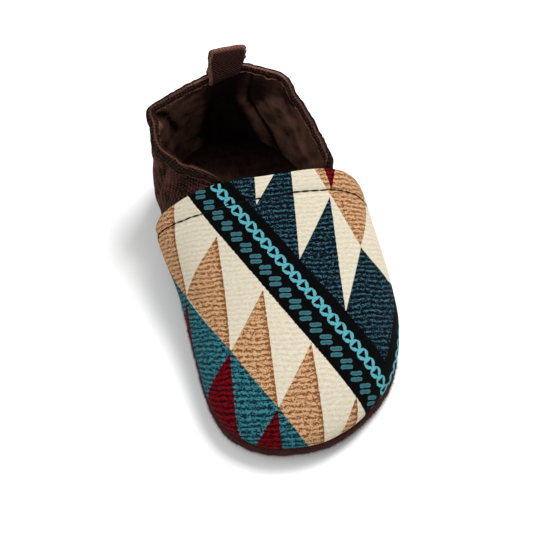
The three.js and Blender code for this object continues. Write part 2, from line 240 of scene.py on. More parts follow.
class Finish:
    """One material, whose nodes are added by the node method."""

    def __init__(self, name, roughness):
        self.material = bpy.data.materials.new(name)
        self.material.use_nodes = True
        self.tree = self.material.node_tree
        self.shader = self.tree.nodes["Principled BSDF"]
        self.shader.inputs["Roughness"].default_value = roughness
        self.shader.inputs["Specular IOR Level"].default_value = CLOTH_GLOSS

    def feed(self, socket, value):
        """Links a number to a socket, or sets the socket to a plain value."""
        if isinstance(value, Number):
            self.tree.links.new(value.socket, socket)
        else:
            socket.default_value = value

    def node(self, kind, settings=None, inputs=None, output=0):
        """Adds a node and returns one of its outputs."""
        node = self.tree.nodes.new(kind)
        for name, value in (settings or {}).items():
            setattr(node, name, value)
        for key, value in (inputs or {}).items():
            self.feed(node.inputs[key], value)
        return Number(self, node.outputs[output])

    def split(self, vector):
        """The three numbers of a vector."""
        node = self.tree.nodes.new("ShaderNodeSeparateXYZ")
        self.feed(node.inputs[0], vector)
        return [Number(self, output) for output in node.outputs]

    def place(self):
        """The place on the shoe in millimetres, as x, y and z."""
        objects = self.node("ShaderNodeTexCoord", output=3)
        return [axis * 1000 for axis in self.split(objects)]

    def cloth_place(self):
        """The place on the flat cloth in millimetres, across and up."""
        across, up, unused = self.split(self.node("ShaderNodeUVMap", {"uv_map": "UVMap"}))
        return (across - 0.5) * 100, (up - 0.5) * 100

    def stored(self, name):
        """A number that is stored at each point of the piece."""
        return self.node("ShaderNodeAttribute", {"attribute_name": name}, output=2)

    def noise(self, x, y, z, detail=2.0, rough=0.5):
        """Soft noise from 0 to 1 at a place, whose grain is about one unit wide."""
        place = self.node("ShaderNodeCombineXYZ", inputs={0: x, 1: y, 2: z})
        inputs = {"Vector": place, "Scale": 1.0, "Detail": detail, "Roughness": rough}
        return self.node("ShaderNodeTexNoise", inputs=inputs)

    def grain(self, count, detail=2.0, rough=0.5):
        """Soft noise from 0 to 1 all over the shoe, with a count of grains in a millimetre."""
        return self.noise(*[axis * count for axis in self.place()], detail, rough)

    def mix(self, share, first, second):
        """The first colour where share is 0, and the second where it is 1."""
        settings = {"data_type": "RGBA"}
        return self.node("ShaderNodeMix", settings, {0: share, 6: first, 7: second}, output=2)

    def bump(self, height, distance):
        """Feeds a height to the shader as bumps that rise by this distance."""
        normal = self.node("ShaderNodeBump", inputs={"Height": height, "Distance": distance})
        self.feed(self.shader.inputs["Normal"], normal)

    def colour(self, colour):
        """Feeds the base colour."""
        self.feed(self.shader.inputs["Base Color"], colour)

    def velvet(self, weight, roughness, tint):
        """Gives the soft bright edge of brushed cloth."""
        self.shader.inputs["Sheen Weight"].default_value = weight
        self.shader.inputs["Sheen Roughness"].default_value = roughness
        self.shader.inputs["Sheen Tint"].default_value = tint


# %% Dyes and dressing


def dye(red, green, blue):
    """A screen colour from 0 to 255 as the linear colour that nodes use."""
    shares = [value / 255 for value in (red, green, blue)]
    return (*[c / 12.92 if c <= 0.04045 else ((c + 0.055) / 1.055) ** 2.4 for c in shares], 1)


def dress(finish, *pieces):
    """Gives a finish to pieces, after those they wear already."""
    for piece in pieces:
        piece.data.materials.append(finish.material)
    print(finish.material.name, "has", len(finish.tree.nodes), "nodes")


# %% [markdown]
# The vamp is one panel of printed cloth. It could be draped by a cloth simulation, but a sewn panel
# keeps the form it was sewn to, so the outer face of its solid is used. It is unwrapped, as the
# maker's flat pattern piece was laid on the cloth, so the print can be charted in millimetres of
# cloth. Solidify then gives the thickness, and subdivision rounds the fold at the throat.

# %% The vamp's sheet
VAMP_THICKNESS = 1.1 * MM
TOE_CENTRE = Vector((-3, -35, 10)) * MM
TOE_TIP = (-3 * MM, -58.8 * MM, 4 * MM)
THROAT_MIDDLE = (0.5 * MM, 17.5 * MM, 38 * MM)


def faces_out(face):
    """True where a face of the upper or vamp looks away from the foot inside."""
    centre = face.calc_center_median()
    inside = Vector((TOE_CENTRE.x, max(centre.y, TOE_CENTRE.y), TOE_CENTRE.z))
    return face.normal.dot((centre - inside).normalized()) > 0.5


def polygon_area(corners):
    """The area of a flat polygon, plus where its corners run anticlockwise."""
    x, y = corners[:, 0], corners[:, 1]
    return 0.5 * float(np.dot(x, np.roll(y, -1)) - np.dot(y, np.roll(x, -1)))


def unwrap_flat(piece, origin, upper_end):
    """Unwraps a sheet, turns it so that origin to upper_end runs up, and scales it true.

    The UV map holds decimetres of cloth, with origin in the middle of the map."""
    edit_all(piece, bpy.ops.uv.unwrap, method="ANGLE_BASED", margin=0)
    layer = piece.data.uv_layers.active.data
    flat = read_rows(layer, "uv", 2)
    places = points_of(piece)[corners_of(piece)]

    def flat_near(place):
        return flat[np.argmin(((places - np.array(place)) ** 2).sum(1))]

    areas = [polygon_area(flat[list(face.loop_indices)]) for face in piece.data.polygons]
    solid_area = sum(face.area for face in piece.data.polygons)
    start, end = flat_near(origin), flat_near(upper_end)
    up = (end - start) / np.linalg.norm(end - start)
    right = np.array([up[1], -up[0]]) * (-1 if sum(areas) < 0 else 1)
    scale = math.sqrt(solid_area / sum(abs(area) for area in areas)) * 10
    moved = np.stack([(flat - start) @ right, (flat - start) @ up], 1) * scale + 0.5
    layer.foreach_set("uv", moved.ravel())
    print(piece.name, "flat size in mm:", (np.ptp(moved, axis=0) * 100).round(1))


vamp = copy_solid("vamp", "vamp_cloth")
keep_faces(vamp, faces_out)
unwrap_flat(vamp, TOE_TIP, THROAT_MIDDLE)
apply_modifier(vamp, "SOLIDIFY", thickness=VAMP_THICKNESS, offset=-1, use_even_offset=True)
subdivide(vamp, 2)

# %% [markdown]
# The print follows a blanket pattern: a black band with a chain and pairs of dashes runs over the
# toe, with rows of triangles on each side. It is charted here in millimetres of flat cloth, from
# the tip of the toe: across to the outer side, and up to the throat. A shape is a list of corners,
# and the finish paints a shape wherever a place lies on the inner side of all its edges. Beyond
# BAND_FOLD the band turns back up, slanted by FOLD_SLOPE, like its own image in a mirror.

# %% The chart of the print
BASE_LINE = [(-51, 71), (-36, 52), (-21.6, 31.8), (-11.4, 14.2), (-3, -4)]
TAN_PEAKS = [
    [(-30.5, 92), (-44.4, 92), (-47.0, 64.8), (-36, 52), (-35.2, 57)],
    [(-19.1, 67.2), (-35.9, 52.5), (-21.8, 31.9)],
    [(-8.9, 47.4), (-21.5, 31.6), (-11.5, 14.4)],
    [(1.0, 29.3), (-11.4, 14.2), (-3, -4), (-1.6, -2)],
    [(10.0, 12.6), (0.5, -2), (8.9, -2)],
]
RED_PEAKS = [
    [(-36.8, 51), (-50, 39.5), (-39.5, 33), (-37.7, 44)],
    [(-22.0, 31.0), (-36.5, 16), (-24.3, 0), (-22.6, 16)],
    [(-11.7, 13.9), (-22, 3), (-20, -4), (-13.8, -4)],
]
CREAM_PEAKS = [
    [(-1.5, 90), (9, 90), (3.6, 82.5), (-4.5, 74.0), (-3.0, 82)],
    [(10.8, 90), (18.0, 90), (19.2, 71.0), (4.1, 54.0)],
    [(17.6, 90), (19.2, 70.8), (24.6, 53.3), (40, 90)],
    [(19.2, 70.8), (13.1, 35.6), (24.6, 53.3)],
    [(24.7, 53.4), (27.3, 49.0), (33, 42.0), (46, 36), (60, 60), (60, 90), (36, 90)],
]
TAN_WEDGE = [(16.8, 90), (17.4, 80.5), (24.6, 53.7), (37.5, 68.9), (46, 90)]
RED_WEDGE = [(20.7, 90), (20.7, 73.2), (31, 90)]
BAND_ALONG = (0.4527, -0.8917)
BAND_ACROSS = (0.8917, 0.4527)
BAND_EDGES = (14.35, 28.1)
BAND_FOLD = 21.5
FOLD_SLOPE = 0.7
CHAIN_MIDDLE = 23.5
DASH_MIDDLE = 18.0
CHAIN_COUNT = (0.327, 0.00032)
DASH_COUNT = (0.236, 0.00016)
print("corners charted:", sum(len(shape) for shape in TAN_PEAKS + RED_PEAKS + CREAM_PEAKS))

# %% [markdown]
# The colours of the print are heathered, as if knitted: each has darker flecks in wavy rows. One
# field of flecks serves them all, so the rows run on from shape to shape.

# %% Lines and shapes


def side_of(start, end, across, up):
    """How many millimetres a place lies to the left of a line from start to end."""
    step = Vector(end) - Vector(start)
    normal = Vector((-step.y, step.x)).normalized()
    return across * normal.x + up * normal.y - normal.dot(Vector(start))


def inside(corners, across, up):
    """1 where a place lies inside a shape with outward corners, and 0 elsewhere."""
    if polygon_area(np.array(corners)) < 0:
        corners = corners[::-1]
    nearest = side_of(corners[-1], corners[0], across, up)
    for start, end in zip(corners, corners[1:]):
        nearest = nearest.least(side_of(start, end, across, up))
    return nearest > 0


# %% Painting the print
ROW_GAP = 1.55
ROW_SLOPE = 0.17
ROW_SWAY = 2.4
THREAD_GAP = 0.42
RAGGED_EDGE = 0.5
TAN_FRINGE = 1.6
TAN_LIGHT = dye(200, 160, 120)
TAN_DARK = dye(118, 70, 34)


def printed_cloth():
    """The vamp's printed cloth."""
    finish = Finish("printed_cloth", 0.85)
    across, up = finish.cloth_place()
    row = up + finish.noise(across * 0.13, up * 0.13, 3.0) * ROW_SWAY + across * ROW_SLOPE
    flecks = finish.noise(across * 0.85, row * 1.5, 0.0, detail=3.0, rough=0.75)
    strands = finish.noise(across * 2.5, up * 2.5, 7.0)
    height = flecks * 1.5 + row.wave(ROW_GAP) * 0.12 + strands - 1.25
    jag = (finish.noise(across * 1.3, up * 1.3, 11.0) - 0.5) * RAGGED_EDGE
    across, up = across + jag, up + jag

    def heather(light, dark, shift=0.0, edge=0.11):
        """The light colour on high flecks and the dark one between, or more of either by a shift."""
        return finish.mix((height + shift).ramp(-edge, edge), dark, light)

    cream = heather(dye(211, 205, 190), dye(192, 176, 140), 0.1, edge=0.3)
    teal = heather(dye(58, 123, 133), dye(3, 34, 42), -0.04)
    red = heather(dye(114, 6, 16), dye(32, 0, 3), -0.02)
    navy = heather(dye(54, 98, 112), dye(4, 7, 14), -0.14)
    tan = heather(TAN_LIGHT, TAN_DARK)

    below = side_of(BASE_LINE[1], BASE_LINE[0], across, up)
    for start, end in zip(BASE_LINE[1:], BASE_LINE[2:]):
        below = below.least(side_of(end, start, across, up))
    mirrored = across.least(across * -FOLD_SLOPE + BAND_FOLD * (1 + FOLD_SLOPE))
    over = mirrored * BAND_ACROSS[0] + up * BAND_ACROSS[1]
    along = mirrored * BAND_ALONG[0] + up * BAND_ALONG[1]
    paint = finish.mix(over > BAND_EDGES[1], cream, navy)
    for shape in TAN_PEAKS:
        fringe = side_of(shape[-1], shape[0], across, up).ramp(0.0, TAN_FRINGE)
        faded = heather(TAN_LIGHT, TAN_DARK, fringe * 0.2 - 0.18)
        paint = finish.mix(inside(shape, across, up), paint, faded)
    paint = finish.mix(below > 0, paint, teal)
    layers = ((RED_PEAKS, red), (CREAM_PEAKS, cream), ([TAN_WEDGE], tan), ([RED_WEDGE], red))
    for shapes, colour in layers:
        for shape in shapes:
            paint = finish.mix(inside(shape, across, up), paint, colour)
    band = (over > BAND_EDGES[0]) * (over < BAND_EDGES[1])
    paint = finish.mix(band, paint, dye(4, 4, 4))
    depth = dash_depth(over, along)
    dash = finish.mix((depth + strands * 0.3 - 0.15).ramp(0.2, 0.6), dye(57, 106, 114), dye(37, 80, 89))
    paint = finish.mix((depth > 0) * band, paint, dash)
    link = finish.mix(strands.ramp(0.35, 0.65), dye(68, 146, 157), dye(95, 169, 180))
    finish.colour(finish.mix(chain(over, along) * band, paint, link))
    weave = across.wave(THREAD_GAP) * up.wave(THREAD_GAP)
    finish.bump(weave * 0.4 + (flecks + strands) * 1.2, 0.16 * MM)
    return finish


# %% [markdown]
# The chain and the dashes repeat along the band, so each is charted once, around the middle of its
# repeat. A link is a disc with a three-cornered hole. A dash is a short bar with round ends, with a
# second one above it. Dashes lie along the rows of flecks, and not along the band.

# %% The chain and the dashes


def repeat(along, count):
    """How far a place along the band lies from the middle of its repeat, in repeats.

    The count of repeats per millimetre grows a little towards the toe, where the cloth is eased."""
    first, growth = count
    return ((along * growth + first) * along).math("FRACT") - 0.5


def chain(over, along):
    """1 on the links down the middle of the band, which are rings with three-cornered holes."""
    pitch, radius, hole_back, hole_side = 3.25, 1.74, -0.62, 0.72
    link = repeat(along, CHAIN_COUNT) * pitch
    aside = over - CHAIN_MIDDLE
    outline = (aside * aside + link * link).math("SQRT") < radius
    hole = (link > hole_back) * (link * 0.525 + abs(aside) * 0.85 < hole_side)
    return outline * (hole < 0.5)


def dash_depth(over, along):
    """How deep a place lies inside one of the paired dashes beside the chain."""
    pitch, half_length, radius, apart = 4.4, 1.2, 0.6, 0.84
    middle = repeat(along, DASH_COUNT) * pitch
    aside = over - DASH_MIDDLE
    across = aside * BAND_ACROSS[0] + middle * BAND_ALONG[0]
    up = aside * BAND_ACROSS[1] + middle * BAND_ALONG[1]
    height = abs(up + across * ROW_SLOPE) - apart
    beyond = (abs(across - up * ROW_SLOPE) - half_length).most(0.0)
    return radius - (beyond * beyond + height * height).math("SQRT")


dress(printed_cloth(), vamp)

# %% [markdown]
# The wall of the upper keeps its whole solid: canvas outside, lining inside. Its collar's edge
# is read off the solid as a row of stations, because the turned hem, its stitches and the folds
# of the lining all follow it. The edge could be drawn anew as a curve, but a reading can't miss it.

# %% The collar's edge
SHARP_ANGLE = math.radians(40)
OPENING_MIDDLE = Vector((0, 38)) * MM


def collar_stations(piece):
    """Walks the narrow top faces of the collar, and returns rows of outer, inner and lower points."""
    mesh = bmesh.new()
    mesh.from_mesh(piece.data)
    start = max(mesh.faces, key=lambda face: face.calc_center_median().z)
    across = [edge for edge in start.edges if edge.calc_face_angle(0) < SHARP_ANGLE]
    edges = []
    for side, first in enumerate(across):
        face, edge, way = start, first, []
        while True:
            way.append(edge)
            beyond = [other for other in edge.link_faces if other != face]
            if not beyond or len(beyond[0].verts) != 4 or edge.calc_face_angle(0) > SHARP_ANGLE:
                break
            face = beyond[0]
            edge = next(e for e in face.edges if not set(e.verts) & set(edge.verts))
        edges = way[::-1] + edges if side == 0 else edges + way
    stations = []
    for edge in edges:
        outer, inner = sorted(edge.verts, key=lambda v: -(v.co.xy - OPENING_MIDDLE).length)
        lower = min((e.other_vert(outer) for e in outer.link_edges), key=lambda v: v.co.z)
        stations.append([outer.co.copy(), inner.co.copy(), lower.co.copy()])
    mesh.free()
    return np.array(stations)


# %% Even stations
STATION_GAP = 0.35 * MM


def reach_along(path):
    """How far each point of a path lies from its start, along the path."""
    steps = np.linalg.norm(np.diff(path, axis=0), axis=1)
    return np.concatenate([[0], np.cumsum(steps)])


def read_between(rows, reached, wanted):
    """Rows at the wanted distances, from rows at the reached ones."""
    return np.stack([np.interp(wanted, reached, column) for column in rows.T], 1)


def smooth_rows(rows, rounds):
    """Evens out rows of points, leaving both ends where they are."""
    rows = rows.copy()
    for unused in range(rounds):
        rows[1:-1] = (rows[:-2] + 2 * rows[1:-1] + rows[2:]) / 4
    return rows


def even_stations(rows):
    """Spaces the stations evenly along the collar and smooths them."""
    reached = reach_along(rows[:, :2].mean(1))
    even = read_between(rows.reshape(len(rows), -1), reached, np.arange(0, reached[-1], STATION_GAP))
    return smooth_rows(even, 24).reshape(-1, 3, 3)


def unit(vectors):
    """Vectors scaled to length 1."""
    return vectors / np.linalg.norm(vectors, axis=-1, keepdims=True)


upper = copy_solid("upper", "quarter_and_lining")
rim = even_stations(collar_stations(upper))
rim_outer, rim_inner = rim[:, 0], rim[:, 1]
rim_up = unit(rim[:, 0] - rim[:, 2])
rim_out = unit(rim_outer - rim_inner)
rim_middle = (rim_outer + rim_inner) / 2
rim_along = unit(np.gradient(rim_middle, axis=0))
rim_tree = KDTree(len(rim_middle))
for index, place in enumerate(rim_middle):
    rim_tree.insert(place, index)
rim_tree.balance()
print(len(rim), "stations,", round(len(rim) * STATION_GAP / MM), "mm of collar")

# %% [markdown]
# A sewn collar is never as even as its pattern. It has soft corners where the cloth is folded
# sharply, and it leans in or out between them. This lean is given at some places along the
# collar, in millimetres, with small waves on top. The pull loop holds its own stretch of the hem
# in place, so there the waves fade out.

# %% The lean of the collar
COLLAR_LEAN = [
    (0, -2.2), (2.0, -2.2), (4.2, -2.0), (6.4, -0.5), (10, -1.1), (29, -1.2), (33, -0.2), (35.5, 0.5),
    (38, 0), (41, -0.9), (45.5, -0.9), (49, 0), (78, 0), (82.5, 1.7), (85.5, 0.5), (89, 1.2), (93, 1.3),
    (97, 0.6), (99.5, 0.1), (102.5, 0.9), (105, 0), (118, 0),
]
LOOP_MIDDLE = 54.5
LOOP_HOLD = 11.0
WAVE_OUT, WAVE_UP = 0.45, 0.4
rim_reach = np.arange(len(rim)) * STATION_GAP / MM
lean = np.interp(rim_reach, *np.array(COLLAR_LEAN, float).T)
lean = smooth_rows(lean[:, None], 12)[:, 0]
loose = 1 - np.exp(-((rim_reach - LOOP_MIDDLE) / LOOP_HOLD) ** 4)
wave_out = np.array([noise.noise(Vector((reach / 5.5, 3.0, 0))) for reach in rim_reach])
wave_up = np.array([noise.noise(Vector((reach / 4.5, 8.0, 0))) for reach in rim_reach])
shift_out = lean + WAVE_OUT * wave_out * loose
shift_up = WAVE_UP * wave_up * loose
rim_shift = (rim_out * shift_out[:, None] + rim_up * shift_up[:, None]) * MM
print("the collar leans by", lean.min().round(1), "to", lean.max().round(1), "mm")

# %% [markdown]
# Creases are soft troughs and ridges along a few listed points, in millimetres.
# They could be sculpted, but numbers can be read and corrected. A point of the piece moves along
# its own normal, the less the further it lies from the crease. Small uneven waves come from noise,
# which is seeded and so the same in each run.

# %% Creases and waves


def distance_to(points, path):
    """The distance from each point to a path of straight lines."""
    nearest = np.full(len(points), np.inf)
    for start, end in zip(path[:-1], path[1:]):
        step = end - start
        share = np.clip(((points - start) @ step) / (step @ step), 0, 1)
        nearest = np.minimum(nearest, np.linalg.norm(points - start - share[:, None] * step, axis=1))
    return nearest


def fold_heights(points, folds, behind=0.0):
    """How many millimetres a list of folds raises or sinks each point.

    For points of the other face of the cloth, behind is the thickness between the faces."""
    heights = np.zeros(len(points))
    for path, depth, width in folds:
        away = distance_to(points, np.array(path, float) * MM)
        beside = np.sqrt(np.maximum(away ** 2 - behind ** 2, 0))
        heights += depth * np.exp(-(beside / (width * MM)) ** 2)
    return heights


def waves(points, size, seed):
    """Soft noise from -1 to 1 at each point, with waves about size millimetres long."""
    shift = Vector((seed, 0, 0))
    return np.array([noise.noise(Vector(place) / (size * MM) + shift) for place in points])


def fade_between(values, low, high):
    """0 below low, 1 above high, and smooth between them."""
    share = np.clip((values - low) / (high - low), 0, 1)
    return share * share * (3 - 2 * share)


# %% The inner arch
ARCH_SWELL = 1.9
ARCH_MIDDLE, ARCH_LENGTH = 20, 17


def swell_arch(points):
    """Swells the cloth outwards at the inner arch of the foot, between the sole and the collar."""
    x, y, z = points.T / MM
    share = np.exp(-((y - ARCH_MIDDLE) / ARCH_LENGTH) ** 2) * fade_between(-x, 12, 25)
    share *= fade_between(z, 2, 9) * (1 - fade_between(z, 22, 32))
    moved = points.copy()
    moved[:, 0] -= ARCH_SWELL * share * MM
    return moved


# %% Places on a piece


def collar_places(points):
    """For each point: how far round the collar it lies, and how far below its edge."""
    around = np.empty(len(points))
    below = np.empty(len(points))
    for index, place in enumerate(points):
        unused, station, distance = rim_tree.find(place)
        around[index] = station * STATION_GAP + (place - rim_middle[station]) @ rim_along[station]
        below[index] = distance
    return around, below


def stations_at(around):
    """The number of the station at each distance round the collar."""
    return np.clip((around / STATION_GAP).round().astype(int), 0, len(rim) - 1)


def store(piece, name, values):
    """Stores a number at each point of a piece, for its finish to read."""
    piece.data.attributes.new(name, "FLOAT", "POINT").data.foreach_set("value", values)


def map_cloth(piece, across, up):
    """Gives a piece a UV map, in decimetres of cloth around the middle of the map."""
    layer = piece.data.uv_layers.get("UVMap") or piece.data.uv_layers.new(name="UVMap")
    corners = corners_of(piece)
    flat = np.stack([across[corners], up[corners]], 1) * 10 + 0.5
    layer.data.foreach_set("uv", flat.ravel())


# %% [markdown]
# Stitches are small rounded bars of thread. A bump could hint at them, but only bars catch light on
# their sides. One bar is shaped from a sphere, and copies of it are laid end to end along a seam,
# in the groove that the thread pulls into the cloth. All copies of one seam are joined in one mesh,
# because a shoe has hundreds of them.

# %% Laying stitches
BAR_HALF = 0.55


def new_piece(name, places, faces):
    """A piece of new points and faces."""
    mesh = bpy.data.meshes.new(name)
    mesh.from_pydata(places.reshape(-1, 3).tolist(), [], faces)
    return add_object(name, mesh)


def model_bar():
    """A rounded bar from -1 to 1 along z, as the pattern of every stitch."""
    bpy.ops.mesh.primitive_uv_sphere_add(segments=8, ring_count=6, radius=1)
    return bpy.context.object


def joined_copies(name, model, places, axes):
    """Copies of a model as one mesh, with a place and three scaled directions for each copy."""
    corners = points_of(model)
    placed = places[:, None] + np.einsum("ca,nad->ncd", corners, axes)
    pattern = [list(face.vertices) for face in model.data.polygons]
    faces = [[first + corner for corner in face]
             for first in range(0, len(places) * len(corners), len(corners)) for face in pattern]
    bpy.data.objects.remove(model)
    piece = new_piece(name, placed, faces)
    piece.data.shade_smooth()
    return piece


def lay_stitches(name, path, outward, length, gap, radius):
    """A row of stitches along a path of close points, with the way out of the cloth at each."""
    reached = reach_along(path)
    middles = np.arange(gap + length / 2, reached[-1] - length / 2, length + gap)
    starts = read_between(path, reached, middles - length / 2)
    ends = read_between(path, reached, middles + length / 2)
    along = (ends - starts) * BAR_HALF
    out = unit(read_between(outward, reached, middles))
    side = unit(np.cross(out, along))
    out = np.cross(unit(along), side)
    axes = np.stack([side * radius, out * radius, along], 1)
    return joined_copies(name, model_bar(), (starts + ends) / 2, axes)


# %% [markdown]
# A row of stitches runs across the vamp below the throat and pulls a soft groove into it. Where
# the vamp is sewn to the sole, the seam gathers it into shallow scallops. Both follow the flat
# cloth, so each point's place on the cloth is read back from the UV map.

# %% Reading the flat cloth


def cloth_points(piece):
    """Each point's place on the flat cloth, in millimetres."""
    places = np.empty((len(piece.data.vertices), 2))
    places[corners_of(piece)] = (read_rows(piece.data.uv_layers.active.data, "uv", 2) - 0.5) * 100
    return places


def on_cloth(wanted, cloth, rows):
    """Values at places on the flat cloth, weighed from the nearest points of the mesh."""
    found = []
    for place in wanted:
        away = ((cloth - place) ** 2).sum(1)
        near = np.argsort(away)[:6]
        share = 1 / (away[near] + 0.05)
        found.append((rows[near] * share[:, None]).sum(0) / share.sum())
    return np.array(found)


# %% The vamp's seams
VAMP_SEAM = [(-53, 73.5), (-45.8, 76.4), (-34, 76.3), (-21.9, 76.0), (-3.4, 75.9), (8.8, 75.3),
             (23.4, 72.8), (31, 70.6), (39, 67.5), (46, 64), (52, 61.2), (56.5, 59)]
VAMP_STITCH = {"length": 2.7 * MM, "gap": 0.2 * MM, "radius": 0.27 * MM}
SEAM_DEPTH = 0.45
SEAM_WIDTH = 1.1
SEAM_SWAY = 0.22
SCALLOP_DEPTH = 0.4
points, normals = points_of(vamp), normals_of(vamp)
cloth = cloth_points(vamp)
seam = np.array(VAMP_SEAM, float)
groove = np.exp(-(distance_to(cloth, seam) / SEAM_WIDTH) ** 2)
inner = points - np.array([TOE_CENTRE.x, 0, TOE_CENTRE.z])
inner[:, 1] = points[:, 1] - np.maximum(points[:, 1], TOE_CENTRE.y)
outside = (inner * normals).sum(1) > 0
side = np.where(outside, 1, -1)
low = 1 - fade_between(points[:, 2], 3 * MM, 11 * MM)
scallops = SCALLOP_DEPTH * waves(points * np.array([1, 1, 0.3]), 5.5, 21) * low
swell = scallops + 0.12 * waves(points, 9, 5)
points += normals * (side * (swell - SEAM_DEPTH * groove) * MM)[:, None]
points = swell_arch(points)
move_points(vamp, points)
normals = normals_of(vamp)
seam_line = read_between(seam, np.arange(len(seam)), np.linspace(0, len(seam) - 1, 160))
seam_line[:, 1] += SEAM_SWAY * np.sin(seam_line[:, 0] * 1.1)
seam_path = smooth_rows(on_cloth(seam_line, cloth[outside], points[outside]), 4)
seam_out = on_cloth(seam_line, cloth[outside], normals[outside])
vamp_stitches = lay_stitches("vamp_stitches", seam_path + seam_out * 0.08 * MM, seam_out, **VAMP_STITCH)
stand_for("vamp", "printed_cloth", vamp, vamp_stitches)

# %% [markdown]
# The wall keeps both its faces, and a face is canvas or lining by the way it looks. Its folds are
# listed: the canvas bulges over the inner ankle and folds beside it, and the lining is
# loose, with a long fold below the inner corner of the collar and a seam down each side of the
# heel. The lining follows the folds of the canvas, so the wall keeps its thickness. How deep a
# fold is gets stored at each point, so that the finishes can paint shade into a trough and
# light onto a ridge.

# %% The upper's wall
HEM_EXTRA = 0.7 * MM
WALL = 1.5 * MM
DEEPEST = 1.15
HEEL_TURN = 44 * MM
CANVAS, LINING = 0, 1
CANVAS_FOLDS = [
    ([(-26.6, 37, 34), (-27.4, 37, 24), (-27.4, 36, 14)], 1.8, 5.0),
    ([(-26.1, 33.0, 39), (-26.9, 33.6, 27), (-27.2, 34, 16)], -1.9, 1.7),
    ([(-24.9, 30.4, 37), (-25.6, 30.8, 26), (-26.0, 31, 15)], 1.1, 1.8),
    ([(-22.9, 26.8, 36), (-23.6, 25, 30)], -0.5, 2.0),
    ([(14, 56, 30), (8, 59, 22), (0, 60.5, 18)], -0.6, 2.6),
    ([(25, 30, 24), (26, 38, 18), (24, 46, 13)], -0.6, 2.6),
    ([(23, 16, 33), (25, 17.5, 27), (27, 18, 20)], -2.0, 3.8),
]
LINING_FOLDS = [
    ([(-26.4, 46, 42), (-24.3, 47, 39.5), (-21.4, 48.9, 34.9), (-19.4, 50.4, 28.5), (-17.3, 52, 21.8)],
     -1.6, 1.0),
    ([(-24.6, 46, 36), (-22.5, 47, 31), (-21.5, 48, 24), (-20, 49, 16)], 1.3, 1.8),
    ([(-25.5, 38, 38), (-26, 37, 30), (-25.5, 37, 20)], -0.7, 1.6),
    ([(-26, 41, 36), (-25.6, 42, 26), (-24, 43, 14)], 0.6, 2.2),
    ([(7, 55.6, 34), (7.1, 55.4, 24.8), (8.5, 54.9, 20.8), (10.1, 54.1, 16.5), (11.9, 52.4, 12.4),
      (14.9, 47, 5.2)], -0.9, 0.8),
    ([(5.3, 56.2, 32), (5.6, 56.2, 24), (7.6, 55.6, 15), (10.6, 53, 8)], 0.55, 1.3),
    ([(9.9, 54, 26), (13.2, 50.6, 30), (17, 46, 33)], -0.6, 1.3),
    ([(15.5, 46, 26), (18.5, 40, 20), (20, 33, 14)], 0.7, 2.4),
    ([(19.2, 38, 7.6), (21, 31.4, 20), (21.3, 24.6, 33)], -0.7, 1.4),
    ([(-4.7, 56.8, 30), (-5.2, 56.8, 20), (-8, 56, 9)], -0.6, 1.4),
]

# %% Folding the wall
for face in upper.data.polygons:
    centre = face.center
    foot = Vector((0, min(max(centre.y, TOE_CENTRE.y), HEEL_TURN), centre.z))
    face.material_index = CANVAS if face.normal.dot(centre - foot) > 0 else LINING
subdivide(upper, 2)
points, normals = points_of(upper), normals_of(upper)
around, below = collar_places(points)
map_cloth(upper, around, below)
lined = np.zeros(len(points))
for face in upper.data.polygons:
    if face.material_index == LINING:
        lined[list(face.vertices)] = 1
hem_fade = 1 - fade_between(below, 3.0 * MM, 4.6 * MM)
points -= normals * (HEM_EXTRA * hem_fade * (1 - lined))[:, None]
free = fade_between(below, 2 * MM, 7 * MM) * fade_between(points[:, 2], 3 * MM, 9 * MM)
outside_in = np.where(lined, -1, 1)
wrinkles = 0.5 * waves(points * np.array([1, 1, 0.4]), 6, 13) + 0.14 * waves(points, 3.5, 17)
lining_folds = fold_heights(points, LINING_FOLDS) + wrinkles
own = np.where(lined, np.maximum(lining_folds, -DEEPEST), fold_heights(points, CANVAS_FOLDS))
shared = np.where(lined, -fold_heights(points, CANVAS_FOLDS, WALL), 0)
both = outside_in * (0.3 * waves(points, 11, 3) + 0.1 * waves(points, 4, 7))
points += normals * (free * (own + shared + both) * MM)[:, None]
# The fold heights are stored for painted shade in troughs and painted light on ridges.
store(upper, "fold", free * own)
points += rim_shift[stations_at(around)] * (1 - fade_between(below, 3 * MM, 13 * MM))[:, None]
move_points(upper, swell_arch(points))
stand_for("upper", "brown_canvas", upper)

# %% [markdown]
# The collar's edge is a strip of canvas, turned over the wall and sewn down through both sides.
# The row of stitches pulls a groove into it, and gathers it into small puckers. Its section is
# swept along the stations. A section's corner says how far it lies from the lining to the canvas,
# and how many millimetres further out and up. A curve with a bevel could carry the section too, but
# then it couldn't pucker or run out thin at both ends.

# %% The turned hem
HEM_SECTION = [
    (0.75, 0.00, -3.30), (1.00, 0.02, -3.62), (1.00, 0.34, -3.35), (1.00, 0.32, -2.95),
    (1.00, -0.10, -2.60), (1.00, 0.30, -2.20), (1.00, 0.40, -1.30), (1.00, 0.20, -0.40),
    (0.80, 0.00, 0.05), (0.50, 0.00, 0.20), (0.20, 0.00, 0.05), (0.00, -0.24, -0.30),
    (0.00, -0.38, -0.65), (0.00, -0.26, -0.95), (0.00, 0.04, -1.20), (0.00, -0.46, -1.50),
    (0.00, -0.34, -1.85), (0.30, 0.00, -2.05),
]
CANVAS_LIP, HEM_GROOVE, HEM_TOP, LINING_GROOVE, LINING_LIP = 2, 4, 9, 14, 15
HEM_END = 5.0
HEM_TAPER = 0.2
PLEATS = [(40.2, 1.0, 0.9), (102.8, 0.9, 1.0)]
PUCKER_LENGTH = 3.1
CANVAS_PUCKER = 0.13
LINING_PUCKER = 0.3
TOP_LIFT, LIP_LIFT = 0.07, 0.16


def pucker(along, seed):
    """Uneven waves along the hem, from -1 to 1, for places in millimetres."""
    shift = np.array([noise.noise(Vector((place / 6, seed, 0))) for place in along])
    return np.sin(along / PUCKER_LENGTH * 2 * math.pi + 9 * shift) * (0.7 + 0.9 * shift)


